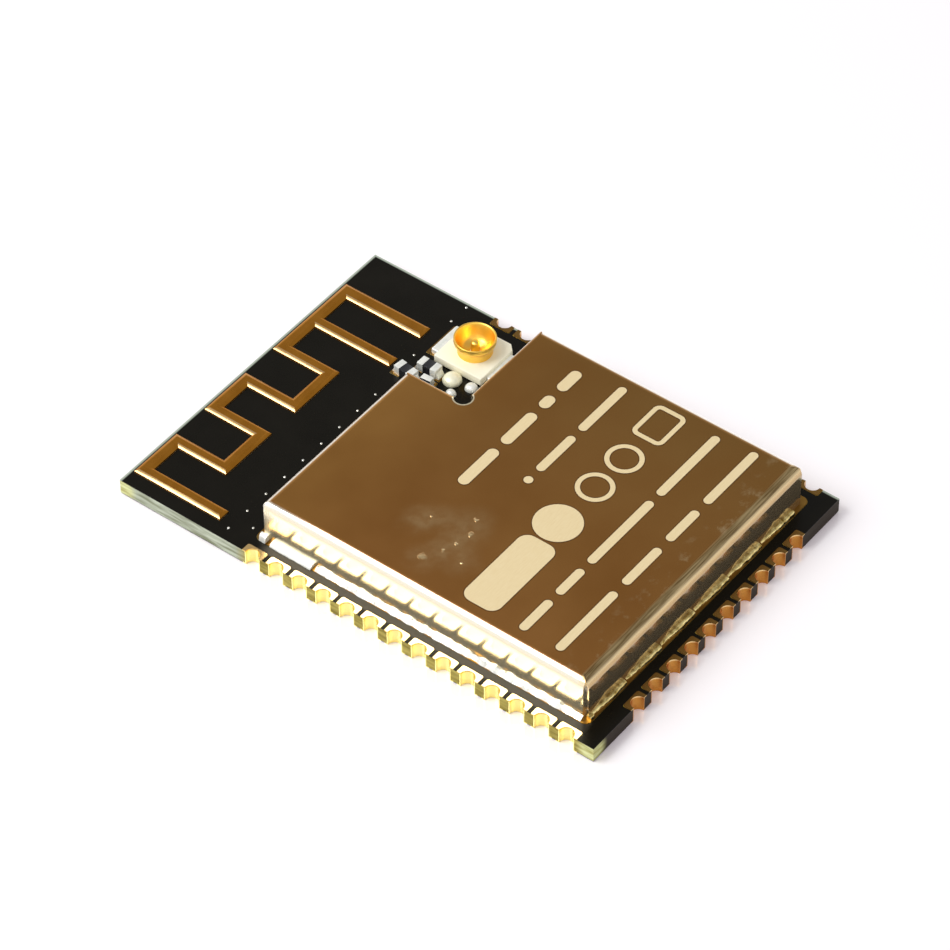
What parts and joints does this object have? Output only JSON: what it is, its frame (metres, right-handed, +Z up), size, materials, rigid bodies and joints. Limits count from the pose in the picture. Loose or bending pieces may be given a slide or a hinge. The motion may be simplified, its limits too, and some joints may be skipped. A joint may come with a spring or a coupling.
{
  "type": "castellated wireless radio module",
  "caption": "Surface-mount wireless radio module: black board with half-hole edge pads, printed meander antenna, folded shield can with a corner cut-out and a small coaxial socket.",
  "frame": {"origin": "centre of the board's outline on the plane of the underside lands", "axes": "+X across the board from the first pad row to the row beside the socket, +Y along the board towards the printed antenna, +Z up out of the face with the shield can"},
  "size_m": [0.0176, 0.0252, 0.003],
  "materials": {
    "laminate": "cut glass-epoxy edge",
    "solder_mask": "gloss black mask",
    "plated_copper": "satin gold plating on copper",
    "antenna_copper": "dull gold plating on copper",
    "tin_solder": "bright tin solder",
    "can_sheet": "satin nickel silver sheet",
    "socket_moulding": "cream moulding",
    "socket_contact": "bright gold plating",
    "package_black": "matt black moulding",
    "chip_ceramic": "fired ceramic",
    "chip_black": "glazed dark ceramic",
    "tinned_ends": "tinned metal"
  },
  "bodies": {
    "root": {"circuit_board": "laminate", "solder_mask_top": "solder_mask", "solder_mask_underside": "solder_mask", "left_edge_pads": "plated_copper", "right_edge_pads": "plated_copper", "end_edge_pads": "plated_copper", "ground_pad": "plated_copper", "ground_vias": "plated_copper", "antenna_trace": "antenna_copper", "shield_ring": "plated_copper", "shield_solder": "tin_solder", "shield_can": "can_sheet", "component_lands": "plated_copper", "connector_base": "socket_moulding", "connector_shell": "socket_contact", "connector_pin": "socket_contact", "connector_solder": "tin_solder", "matching_chip_bodies": "chip_black", "matching_chip_ends": "tinned_ends", "processor_body": "package_black", "processor_leads": "tinned_ends", "flash_body": "package_black", "flash_leads": "tinned_ends", "crystal_base": "chip_ceramic", "crystal_lid": "tinned_ends", "capacitor_bodies": "chip_ceramic", "capacitor_ends": "tinned_ends", "resistor_bodies": "chip_black", "resistor_ends": "tinned_ends", "inductor_bodies": "chip_black", "inductor_ends": "tinned_ends"}
  },
  "joints": []
}
